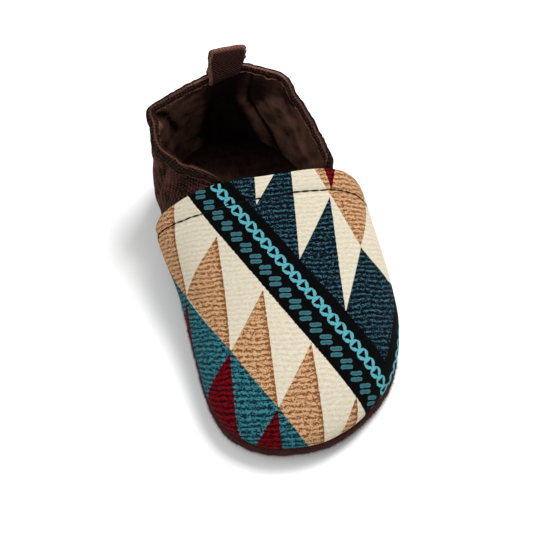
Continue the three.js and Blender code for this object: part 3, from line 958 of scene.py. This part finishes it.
def sweep_hem():
    """The hem's section at each station, as rings of corners."""
    along = rim_reach
    ends = fade_between(along, 0, HEM_END) * (1 - fade_between(along, along[-1] - HEM_END, along[-1]))
    pleat = sum(deep * np.exp(-((along - reach) / wide) ** 2) for reach, deep, wide in PLEATS)
    rings = []
    for share, out, up in HEM_SECTION:
        puckered = pucker(along, 1.0 if out >= 0 else 5.0) * min(1, abs(out) * 4)
        puckered *= CANVAS_PUCKER if out >= 0 else LINING_PUCKER
        lifted = pucker(along, 9.0) * TOP_LIFT if up > -0.5 else pucker(along, 13.0) * LIP_LIFT
        if out < 0:
            out_here = (out - puckered - pleat * 0.5) * ends
            up_here = (up + lifted - pleat) * (HEM_TAPER + (1 - HEM_TAPER) * ends)
        else:
            out_here, up_here = out + puckered, up + lifted
        ring = rim_inner + (rim_outer - rim_inner) * share + rim_shift
        rings.append(ring + rim_out * (out_here * MM)[:, None] + rim_up * (up_here * MM)[:, None])
    return np.stack(rings, 1)


def skin_rings(count, corners):
    """The four-sided faces between rings of corners, and a face on each end."""
    faces = [list(range(corners))[::-1], list(range((count - 1) * corners, count * corners))]
    for row in range(0, (count - 1) * corners, corners):
        for corner in range(corners):
            beside = (corner + 1) % corners
            faces.append([row + corner, row + beside, row + corners + beside, row + corners + corner])
    return faces


# %% Building the hem
HEM_STITCH = {"length": 2.1 * MM, "gap": 0.5 * MM, "radius": 0.2 * MM}
STITCH_RISE = 0.12 * MM
hem_rings = sweep_hem()
hem_width = reach_along(hem_rings[len(hem_rings) // 2])
hem = new_piece("collar_hem", hem_rings, skin_rings(*hem_rings.shape[:2]))
edit_all(hem, bpy.ops.mesh.normals_make_consistent, inside=False)
map_cloth(hem, np.repeat(rim_reach * MM, len(hem_width)), np.tile(hem_width, len(hem_rings)))
subdivide(hem, 1)
canvas_row = hem_rings[:, HEM_GROOVE] + rim_out * STITCH_RISE
lining_row = hem_rings[:, LINING_GROOVE] - rim_out * STITCH_RISE
canvas_stitches = lay_stitches("hem_stitches", canvas_row, rim_out, **HEM_STITCH)
lining_stitches = lay_stitches("lining_stitches", lining_row, -rim_out, **HEM_STITCH)
stand_for("upper", "brown_canvas", hem, canvas_stitches, lining_stitches)

# %% [markdown]
# The pull loop is a tape folded over the hem. Above the hem its legs are pressed together by use,
# so its points are moved towards the middle of the wall, and its top corners are rounded. It has
# slipped along the collar, all but the foot of its outside leg, and its top is twisted a little.
# How far a point lies round the collar, and how high above it, comes from the collar's stations.
# Each pair of heights is in millimetres above the collar, and a change fades in or out between the
# two. A cloth simulation could fold a tape too, but wouldn't stop where this one lies.

# %% The pull loop
TAPE_HALF = 6.0
TAPE_CORNER = 1.7
TAPE_STRETCH = 0.09
TAPE_WAVES = 0.12
LEG_DEPTH = 1.2
LEG_PRESS, PRESS_RISE = 1.1, (0.2, 5.0)
FOLD_EASE, EASE_RISE = 0.6, (7.0, 13.0)
LEG_SLIP, SLIP_RISE = 1.3, (3.0, 9.0)
LEG_HUG, HUG_RISE = 0.45, (0.0, 4.0)
TAPE_TWIST, TWIST_RISE = 0.24, (0.0, 9.0)
LOOP_SLIP = -1.3


def press_legs(height, depth):
    """How far each point of the loop moves towards the middle of the wall."""
    ease = 1 - FOLD_EASE * fade_between(height, *EASE_RISE)
    press = LEG_PRESS * fade_between(height, *PRESS_RISE) * ease
    hug = LEG_HUG * fade_between(depth, 0.0, 0.5) * (1 - fade_between(height, *HUG_RISE))
    return np.clip(np.abs(depth) / LEG_DEPTH, 0, 1) * press + hug


def round_corners(across, height):
    """How far each point moves along and up, to round the two top corners of the loop."""
    beside = np.abs(across) - (TAPE_HALF - TAPE_CORNER)
    above = height - (height.max() - TAPE_CORNER)
    far = np.hypot(beside, above)
    corner = (beside > 0) & (above > 0) & (far > TAPE_CORNER)
    pull = np.where(corner, 1 - TAPE_CORNER / np.maximum(far, 0.01), 0)
    return -np.sign(across) * beside * pull, -above * pull


# %% Shaping the loop
loop = copy_solid("pull_loop", "tape_loop")
subdivide(loop, 3)
points = points_of(loop)
around, unused = collar_places(points)
stations = stations_at(around)
offset = points - rim_middle[stations]
height = (offset * rim_up[stations]).sum(1) / MM
depth = (offset * rim_out[stations]).sum(1) / MM
loop_top = float(height.max())
towards_outer = np.sign(rim_along[stations].mean(0)[0])
across = around / MM * towards_outer
across -= (across.min() + across.max()) / 2
slip_across, slip_up = round_corners(across, height)
outer_leg = fade_between(depth, -1.0, 1.0) * (1 - fade_between(height, *SLIP_RISE))
slip_across += LOOP_SLIP + LEG_SLIP * outer_leg
slip_up += TAPE_STRETCH * np.maximum(height, 0)
points -= rim_out[stations] * (np.sign(depth) * press_legs(height, depth) * MM)[:, None]
points += rim_along[stations] * (towards_outer * slip_across * MM)[:, None]
points += rim_up[stations] * (slip_up * MM)[:, None]
points[:, 1] -= TAPE_TWIST * across * fade_between(height, *TWIST_RISE) * MM
points += normals_of(loop) * (TAPE_WAVES * waves(points, 4, 31) * MM)[:, None]
move_points(loop, points)
map_cloth(loop, across * MM, height * MM)
stand_for("pull_loop", "brown_tape", loop)

# %% [markdown]
# The sole is cut from a soft sheet of suede, and the insole from felt. Straight from the solid the
# sole's edge would look machined, so small waves move the points of its side. The insole spreads
# sideways until it meets the lining.

# %% Sole and insole
INSOLE_PRESS = 0.6
EDGE_WAVES = 0.22
outsole = copy_solid("outsole", "suede_sole")
subdivide(outsole, 2)
points = points_of(outsole)
edge = fade_between(points[:, 2], 0.2 * MM, 1.2 * MM)
points += normals_of(outsole) * (EDGE_WAVES * edge * waves(points, 2.6, 41) * MM)[:, None]
move_points(outsole, points)
stand_for("outsole", "sole_suede", outsole)
insole = copy_solid("insole", "cloth_insole")
subdivide(insole, 2)
points, normals = points_of(insole), normals_of(insole)
normals[:, 2] = 0
move_points(insole, points + normals * INSOLE_PRESS * MM)
stand_for("insole", "insole_cloth", insole)

# %% [markdown]
# The suede's edge is worn into a fuzz of short fibres, which catch the light. A hair system could
# grow them, but hairs aren't part of a mesh that is handed on, so each fibre is a thin cone with
# three sides. Places and directions come from a seeded random draw, the same in each run.

# %% The fuzz of the sole
FIBRE_COUNT = 7000
FIBRE_LENGTHS = (0.35, 1.0)
FIBRE_WIDTH = 0.055
FIBRE_SPREAD = 0.45
FLOOR_GAP = 0.15 * MM


def model_fibre():
    """A thin cone from 0 to 1 along z."""
    bpy.ops.mesh.primitive_cone_add(vertices=3, radius1=1, radius2=0, depth=1, location=(0, 0, 0.5))
    bpy.ops.object.transform_apply(location=True)
    return bpy.context.object


def grow_fuzz(piece, name):
    """Fibres that stand out of the side of a piece."""
    draw = np.random.default_rng(7)
    steep = [face for face in piece.data.polygons if abs(face.normal.z) < 0.8]
    sides = [face for face in steep if face.center.z > 0.3 * MM]
    areas = np.array([face.area for face in sides])
    chosen = draw.choice(len(sides), FIBRE_COUNT, p=areas / areas.sum())
    corners = points_of(piece)
    places = []
    for index in chosen:
        share = draw.dirichlet(np.ones(len(sides[index].vertices)))
        places.append(share @ corners[list(sides[index].vertices)])
    places = np.array(places)
    out = np.array([sides[index].normal for index in chosen])
    ways = unit(out + draw.normal(0, FIBRE_SPREAD, out.shape))
    lengths = draw.uniform(*FIBRE_LENGTHS, FIBRE_COUNT) * MM
    ways[:, 2] = np.maximum(ways[:, 2], (FLOOR_GAP - places[:, 2]) / lengths)
    side = unit(np.cross(ways, [0.3, 0.5, 0.81]))
    other = unit(np.cross(ways, side))
    axes = np.stack([side * FIBRE_WIDTH * MM, other * FIBRE_WIDTH * MM, ways * lengths[:, None]], 1)
    return joined_copies(name, model_fibre(), places, axes)


sole_fuzz = grow_fuzz(outsole, "sole_fuzz")
stand_for("outsole", "sole_suede", sole_fuzz)

# %% [markdown]
# The canvas of the wall is woven of coarse brown threads. Their tops are worn to a pinkish brown,
# and the gaps between them are nearly black. Threads could be modelled one by one, but that would
# take millions of faces, so two crossing waves in the material stand for them, slanting and made
# uneven by noise. The finish also reads the stored folds, to paint shade into a trough and
# light onto a ridge.

# %% The canvas
CANVAS_GAP = 0.8
CANVAS_SLANT = 0.6
BROWN_SHEEN = dye(190, 150, 135)


def woven(across, up, gap):
    """The height of a plain weave from 0 to 1, whose threads lie a gap apart."""
    return across.wave(2 * gap) * up.wave(2 * gap) * 0.5 + 0.5


def canvas_threads(finish, across, up):
    """The height of the coarse canvas from 0 to 1: slanting threads, uneven and fuzzy."""
    uneven = finish.noise(across * 0.9, up * 0.9, 2.0, detail=3.0) * 1.1
    warp = across + up * CANVAS_SLANT + uneven
    weft = up - across * CANVAS_SLANT + uneven
    return woven(warp, weft, CANVAS_GAP) * 0.5 + finish.grain(2.1, detail=3.0, rough=0.7) * 1.3 - 0.4


def canvas_cloth():
    """The coarse brown canvas of the wall; shade is painted in its troughs, light on its ridges."""
    finish = Finish("brown_canvas", 0.9)
    threads = canvas_threads(finish, *finish.cloth_place())
    worn = finish.grain(0.25, detail=3.0)
    fold = finish.stored("fold")
    # The ridges of the folds get painted light on the thread tops.
    tops = (threads + worn * 0.8 + fold * 0.16 - 0.76).ramp(0.0, 0.5)
    paint = finish.mix(tops, dye(11, 4, 3), dye(82, 51, 42))
    # Painted shade darkens the troughs of the folds.
    finish.colour(finish.mix((fold * -1).ramp(0.4, 2.0) * 0.7, paint, dye(6, 3, 2)))
    finish.bump(threads, 0.3 * MM)
    finish.velvet(0.02, 0.5, BROWN_SHEEN)
    return finish


dress(canvas_cloth(), upper)

# %% [markdown]
# The hem is the same canvas, but a turned edge gets rubbed, so it is worn light along both lips,
# and along its top, there mostly round the heel. These light lines are also painted highlights,
# where the edges catch the light. Its two rows of stitches lie in grooves of painted shade.
# Worn edges could be found from the curve of the mesh, but the hem's flat map already says how far
# a place lies from each of them.

# %% The hem's canvas
HEEL_STRETCH = (33, 70)


def hem_cloth():
    """The turned hem, worn and painted light along its lips and top, with painted shade in its grooves.
    """
    finish = Finish("brown_hem", 0.9)
    across, up = finish.cloth_place()
    threads = canvas_threads(finish, across, up)
    paint = finish.mix(threads.ramp(0.38, 0.85), dye(7, 3, 2), dye(58, 35, 28))
    rub = finish.noise(across * 0.35, up * 0.2, 5.0, detail=3.0)
    heel = across.between(*HEEL_STRETCH, soft=4.0)
    # The lips and the top are worn light, and this light is also a painted highlight.
    edges = ((HEM_TOP, 0.5, heel * 0.55 + 0.25), (LINING_LIP, 0.5, 1.0), (CANVAS_LIP, 0.3, 0.5))
    for corner, reach, amount in edges:
        away = abs(up - float(hem_width[corner] / MM))
        share = (reach - away).ramp(0.0, reach * 0.7) * (threads + rub).ramp(0.5, 0.95)
        paint = finish.mix(share * amount, paint, dye(132, 92, 79))
    # Painted shade in the two grooves of the stitches.
    for corner in (HEM_GROOVE, LINING_GROOVE):
        away = abs(up - float(hem_width[corner] / MM))
        paint = finish.mix((0.42 - away).ramp(0.0, 0.3) * 0.85, paint, dye(8, 4, 3))
    finish.colour(paint)
    finish.bump(threads, 0.26 * MM)
    finish.velvet(0.02, 0.5, BROWN_SHEEN)
    return finish


dress(hem_cloth(), hem)

# %% [markdown]
# The lining is a smooth brown cloth, blotchy with lint. Shade is painted into its troughs, and
# light onto its ridges and onto the first stretch round the collar. A dark seam runs down beside
# the heel. Between the heel's seams it is nearly black. Soft lamps alone leave it too bright there,
# so the finish paints shade there by place, and a little also on the stretch right below the
# heel's hem.

# %% The lining
LINING_GAP = 0.24
LIT_STRETCH = 30
SHADE_UNDER_HEM, SHADE_UNDER_HEM_HEIGHT = (34, 67), 17
HEEL_START = 40


def heel_shade(x, z):
    """1 between the two seams of the heel, which both lean, and 0 beyond them."""
    inner = (x + 10.5 - z * 0.06).ramp(0.0, 3.0)
    outer = ((14.0 - z * 0.36).most(5.5) - x).ramp(0.0, 2.5)
    return inner * outer


def lining_cloth():
    """The smooth brown lining, with painted shade deep in the heel and in its troughs."""
    finish = Finish("brown_lining", 0.85)
    across, up = finish.cloth_place()
    x, y, z = finish.place()
    blotch = finish.grain(0.17, detail=3.0, rough=0.55)
    lint = finish.grain(2.2, rough=0.7)
    fold = finish.stored("fold")
    # Painted light on the first stretch round the collar, and with the fold heights on the ridges.
    lit = (LIT_STRETCH - across).ramp(0.0, 14.0) * 0.12
    light = (blotch * 1.2 + lint * 0.4 + fold * 0.25 + lit - 0.57).ramp(0, 0.65)
    paint = finish.mix(light, dye(36, 20, 15), dye(128, 92, 78))
    # Painted shade in the troughs of the folds.
    paint = finish.mix((fold * -1).ramp(0.75, 1.15) * 0.85, paint, dye(8, 4, 3))
    heel = heel_shade(x, z) * (y - HEEL_START).ramp(0.0, 6.0)
    paint = finish.mix(heel * 0.93, paint, dye(5, 3, 3))
    seam = abs(x - (17.0 - z * 0.4).most(7.0)).ramp(0.15, 0.75)
    paint = finish.mix((1 - seam) * (y - HEEL_START).ramp(0.0, 1.0) * 0.9, paint, dye(8, 5, 4))
    # Painted shade on the stretch right below the heel's hem.
    shade_under_hem = across.between(*SHADE_UNDER_HEM, soft=5.0) * (SHADE_UNDER_HEM_HEIGHT - up).ramp(0.0, 5.0)
    finish.colour(finish.mix(shade_under_hem * 0.8, paint, dye(20, 10, 8)))
    finish.bump(woven(across, up, LINING_GAP) * 0.3 + lint * 0.6 + blotch * 2.0, 0.15 * MM)
    finish.velvet(0.02, 0.4, dye(170, 130, 115))
    return finish


dress(lining_cloth(), upper)

# %% [markdown]
# The pull loop is a twill tape. Its fine ribs slant, because each thread passes over two others and
# the next one starts a step further. One slanting wave is enough for them. Its selvedges and the
# fold at the top are rubbed light in spots; on the fold this light is also a painted highlight.

# %% The tape
TWILL_GAP = 0.95
TWILL_SLANT = 0.9
SELVEDGE = 5.45
FOLD_HEIGHT = 0.9


def tape_cloth():
    """The twill tape of the loop, worn light at its edges and fold, with a painted highlight on the
    fold.
    """
    finish = Finish("brown_tape", 0.88)
    across, up = finish.cloth_place()
    uneven = finish.grain(0.8, detail=3.0) * 0.7
    twill = (across * TWILL_SLANT + up + uneven).wave(TWILL_GAP) * 0.5 + 0.5
    fuzz = finish.grain(2.8, detail=3.0, rough=0.7)
    tops = (twill * 0.8 + fuzz * 1.3 - 0.76).ramp(0.0, 0.6)
    paint = finish.mix(tops, dye(12, 5, 4), dye(74, 46, 39))
    # The fold at the top is worn light, and this light is also a painted highlight.
    fold = (up - (loop_top - FOLD_HEIGHT)).ramp(0.0, 0.8)
    edge = (abs(across) - SELVEDGE).ramp(0.0, 0.4).most(fold)
    finish.colour(finish.mix(edge * (fuzz * 1.4 - 0.2).ramp(0.2, 0.7) * 0.8, paint, dye(140, 98, 85)))
    finish.bump(twill * 0.8 + fuzz * 0.7, 0.26 * MM)
    finish.velvet(0.02, 0.5, dye(200, 155, 140))
    return finish


dress(tape_cloth(), loop)

# %% [markdown]
# Suede and felt have no weave, only a nap of short fibres. Two sizes of noise give it: a coarse one
# for the way the nap was last brushed, and a fine one for the fibres. The fuzz is suede too. Shade
# is painted onto the insole under the heel, like on the lining above it.

# %% Suede and felt


def suede():
    """The fuzzy brown suede of the sole."""
    finish = Finish("sole_suede", 0.95)
    nap = finish.grain(1.1, detail=5.0, rough=0.7)
    fuzz = finish.grain(4, detail=3.0, rough=0.75)
    tops = (nap * 0.7 + fuzz * 0.7 - 0.45).ramp(0, 0.5)
    finish.colour(finish.mix(tops, dye(26, 11, 10), dye(96, 58, 54)))
    finish.bump(nap + fuzz, 0.4 * MM)
    finish.velvet(0.05, 0.5, dye(200, 160, 150))
    return finish


def insole_felt():
    """The brushed brown insole, with painted shade under the heel."""
    finish = Finish("insole_cloth", 0.95)
    x, y, z = finish.place()
    nap = finish.grain(0.4, detail=5.0, rough=0.6)
    fuzz = finish.grain(2.6, detail=3.0, rough=0.75)
    paint = finish.mix((nap * 0.8 + fuzz * 0.6 - 0.45).ramp(0, 0.55), dye(20, 11, 8), dye(84, 57, 46))
    # Painted shade under the heel.
    heel = (x * 0.5 + y - 38).ramp(0.0, 16.0)
    finish.colour(finish.mix(heel * 0.9, paint, dye(5, 3, 3)))
    finish.bump(nap + fuzz, 0.25 * MM)
    return finish


dress(suede(), outsole, sole_fuzz)
dress(insole_felt(), insole)

# %% [markdown]
# Sewing thread is twisted of a few strands, so it isn't of one even colour. At this size a little
# noise is enough to show that. The vamp is sewn with a nearly black thread, the hem with brown.

# %% Thread


def thread(name, colour):
    """Plain sewing thread."""
    finish = Finish(name, 0.8)
    finish.colour(finish.mix(finish.grain(4).ramp(0.3, 0.7), dye(10, 7, 6), colour))
    return finish


dress(thread("brown_thread", dye(52, 31, 25)), canvas_stitches, lining_stitches)
dress(thread("dark_thread", dye(34, 24, 19)), vamp_stitches)

# %% [markdown]
# The camera stands where the photo was taken from: a little to the inner side of the toe, looking
# down at 58 degrees, with a long lens. Its turn and place were found from the outlines of sole and
# collar. It is then turned on the spot until the shoe is in the middle, because a move would
# change how the shoe is seen.

# %% Camera
CAMERA_PLACE = Vector((-106.8, -295.6, 528.8)) * MM
CAMERA_TARGET = Vector((-3.5, 0.5, 14)) * MM
CAMERA_AZIMUTH = -16
CAMERA_ELEVATION = 58
LENS_PIXELS = 1960
PICTURE_PIXELS = 533
camera_data = bpy.data.cameras.new("camera")
camera_data.sensor_width = 36
camera_data.lens = LENS_PIXELS * camera_data.sensor_width / PICTURE_PIXELS
camera = add_object("camera", camera_data)
camera.location = CAMERA_PLACE
level = Matrix.Rotation(math.radians(CAMERA_AZIMUTH), 3, "Z")
tilt = Matrix.Rotation(math.radians(90 - CAMERA_ELEVATION), 3, "X")
photo_turn = (level @ tilt).to_quaternion()
photo_way = photo_turn @ Vector((0, 0, -1))
to_middle = photo_way.rotation_difference(CAMERA_TARGET - CAMERA_PLACE)
camera.rotation_euler = (to_middle @ photo_turn).to_euler()
bpy.context.scene.camera = camera
print("camera", round(CAMERA_PLACE.length, 2), "m away, with a lens of", round(camera_data.lens), "mm")

# %% [markdown]
# Goods are often photographed on white paper under large soft lamps. A key lamp stands behind the
# heel on the outer side, and a weaker, larger one opposite softens its shadow. A white world stands
# for the light from the walls. A picture of a studio could light it all, but lamps can be moved one
# at a time. The standard view transform keeps the paper white.

# %% Floor and light
PAPER = (0.9, 0.9, 0.9, 1)
WORLD_STRENGTH = 0.55
SHOE_MIDDLE = Vector((0, 0, 0.02))
bpy.ops.mesh.primitive_plane_add(size=4, location=(0, 0, 0))
floor = bpy.context.object
floor.name = "floor"
floor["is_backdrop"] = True
paper = bpy.data.materials.new("paper")
paper.use_nodes = True
paper.node_tree.nodes["Principled BSDF"].inputs["Base Color"].default_value = PAPER
paper.node_tree.nodes["Principled BSDF"].inputs["Roughness"].default_value = 0.8
floor.data.materials.append(paper)


def add_lamp(name, place, size, power):
    """A square studio lamp that points at the shoe."""
    data = bpy.data.lights.new(name, "AREA")
    data.size = size
    data.energy = power
    lamp = add_object(name, data)
    lamp.location = place
    lamp.rotation_euler = (SHOE_MIDDLE - lamp.location).to_track_quat("-Z", "Y").to_euler()
    print(name, "lamp of", power, "watts")


add_lamp("key", Vector((0.45, 0.35, 0.9)), 0.5, 13)
add_lamp("fill", Vector((-0.7, -0.3, 0.8)), 0.9, 4)
world = bpy.data.worlds.new("studio")
world.use_nodes = True
world.node_tree.nodes["Background"].inputs["Color"].default_value = (1, 1, 1, 1)
world.node_tree.nodes["Background"].inputs["Strength"].default_value = WORLD_STRENGTH
bpy.context.scene.world = world
bpy.context.scene.view_settings.view_transform = "Standard"

# %% [markdown]
# Last, the box of the finished shoe is set beside the box of its solids, which was taken at the
# start. Cloth may stand out past its solid a little, and the two boxes show by how much.

# %% Sizes and finish
boxes = {"cad": cad_box, "visual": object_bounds()}
boxes = {name: [list(corner) for corner in box] for name, box in boxes.items()}
print("boxes in metres:", boxes)
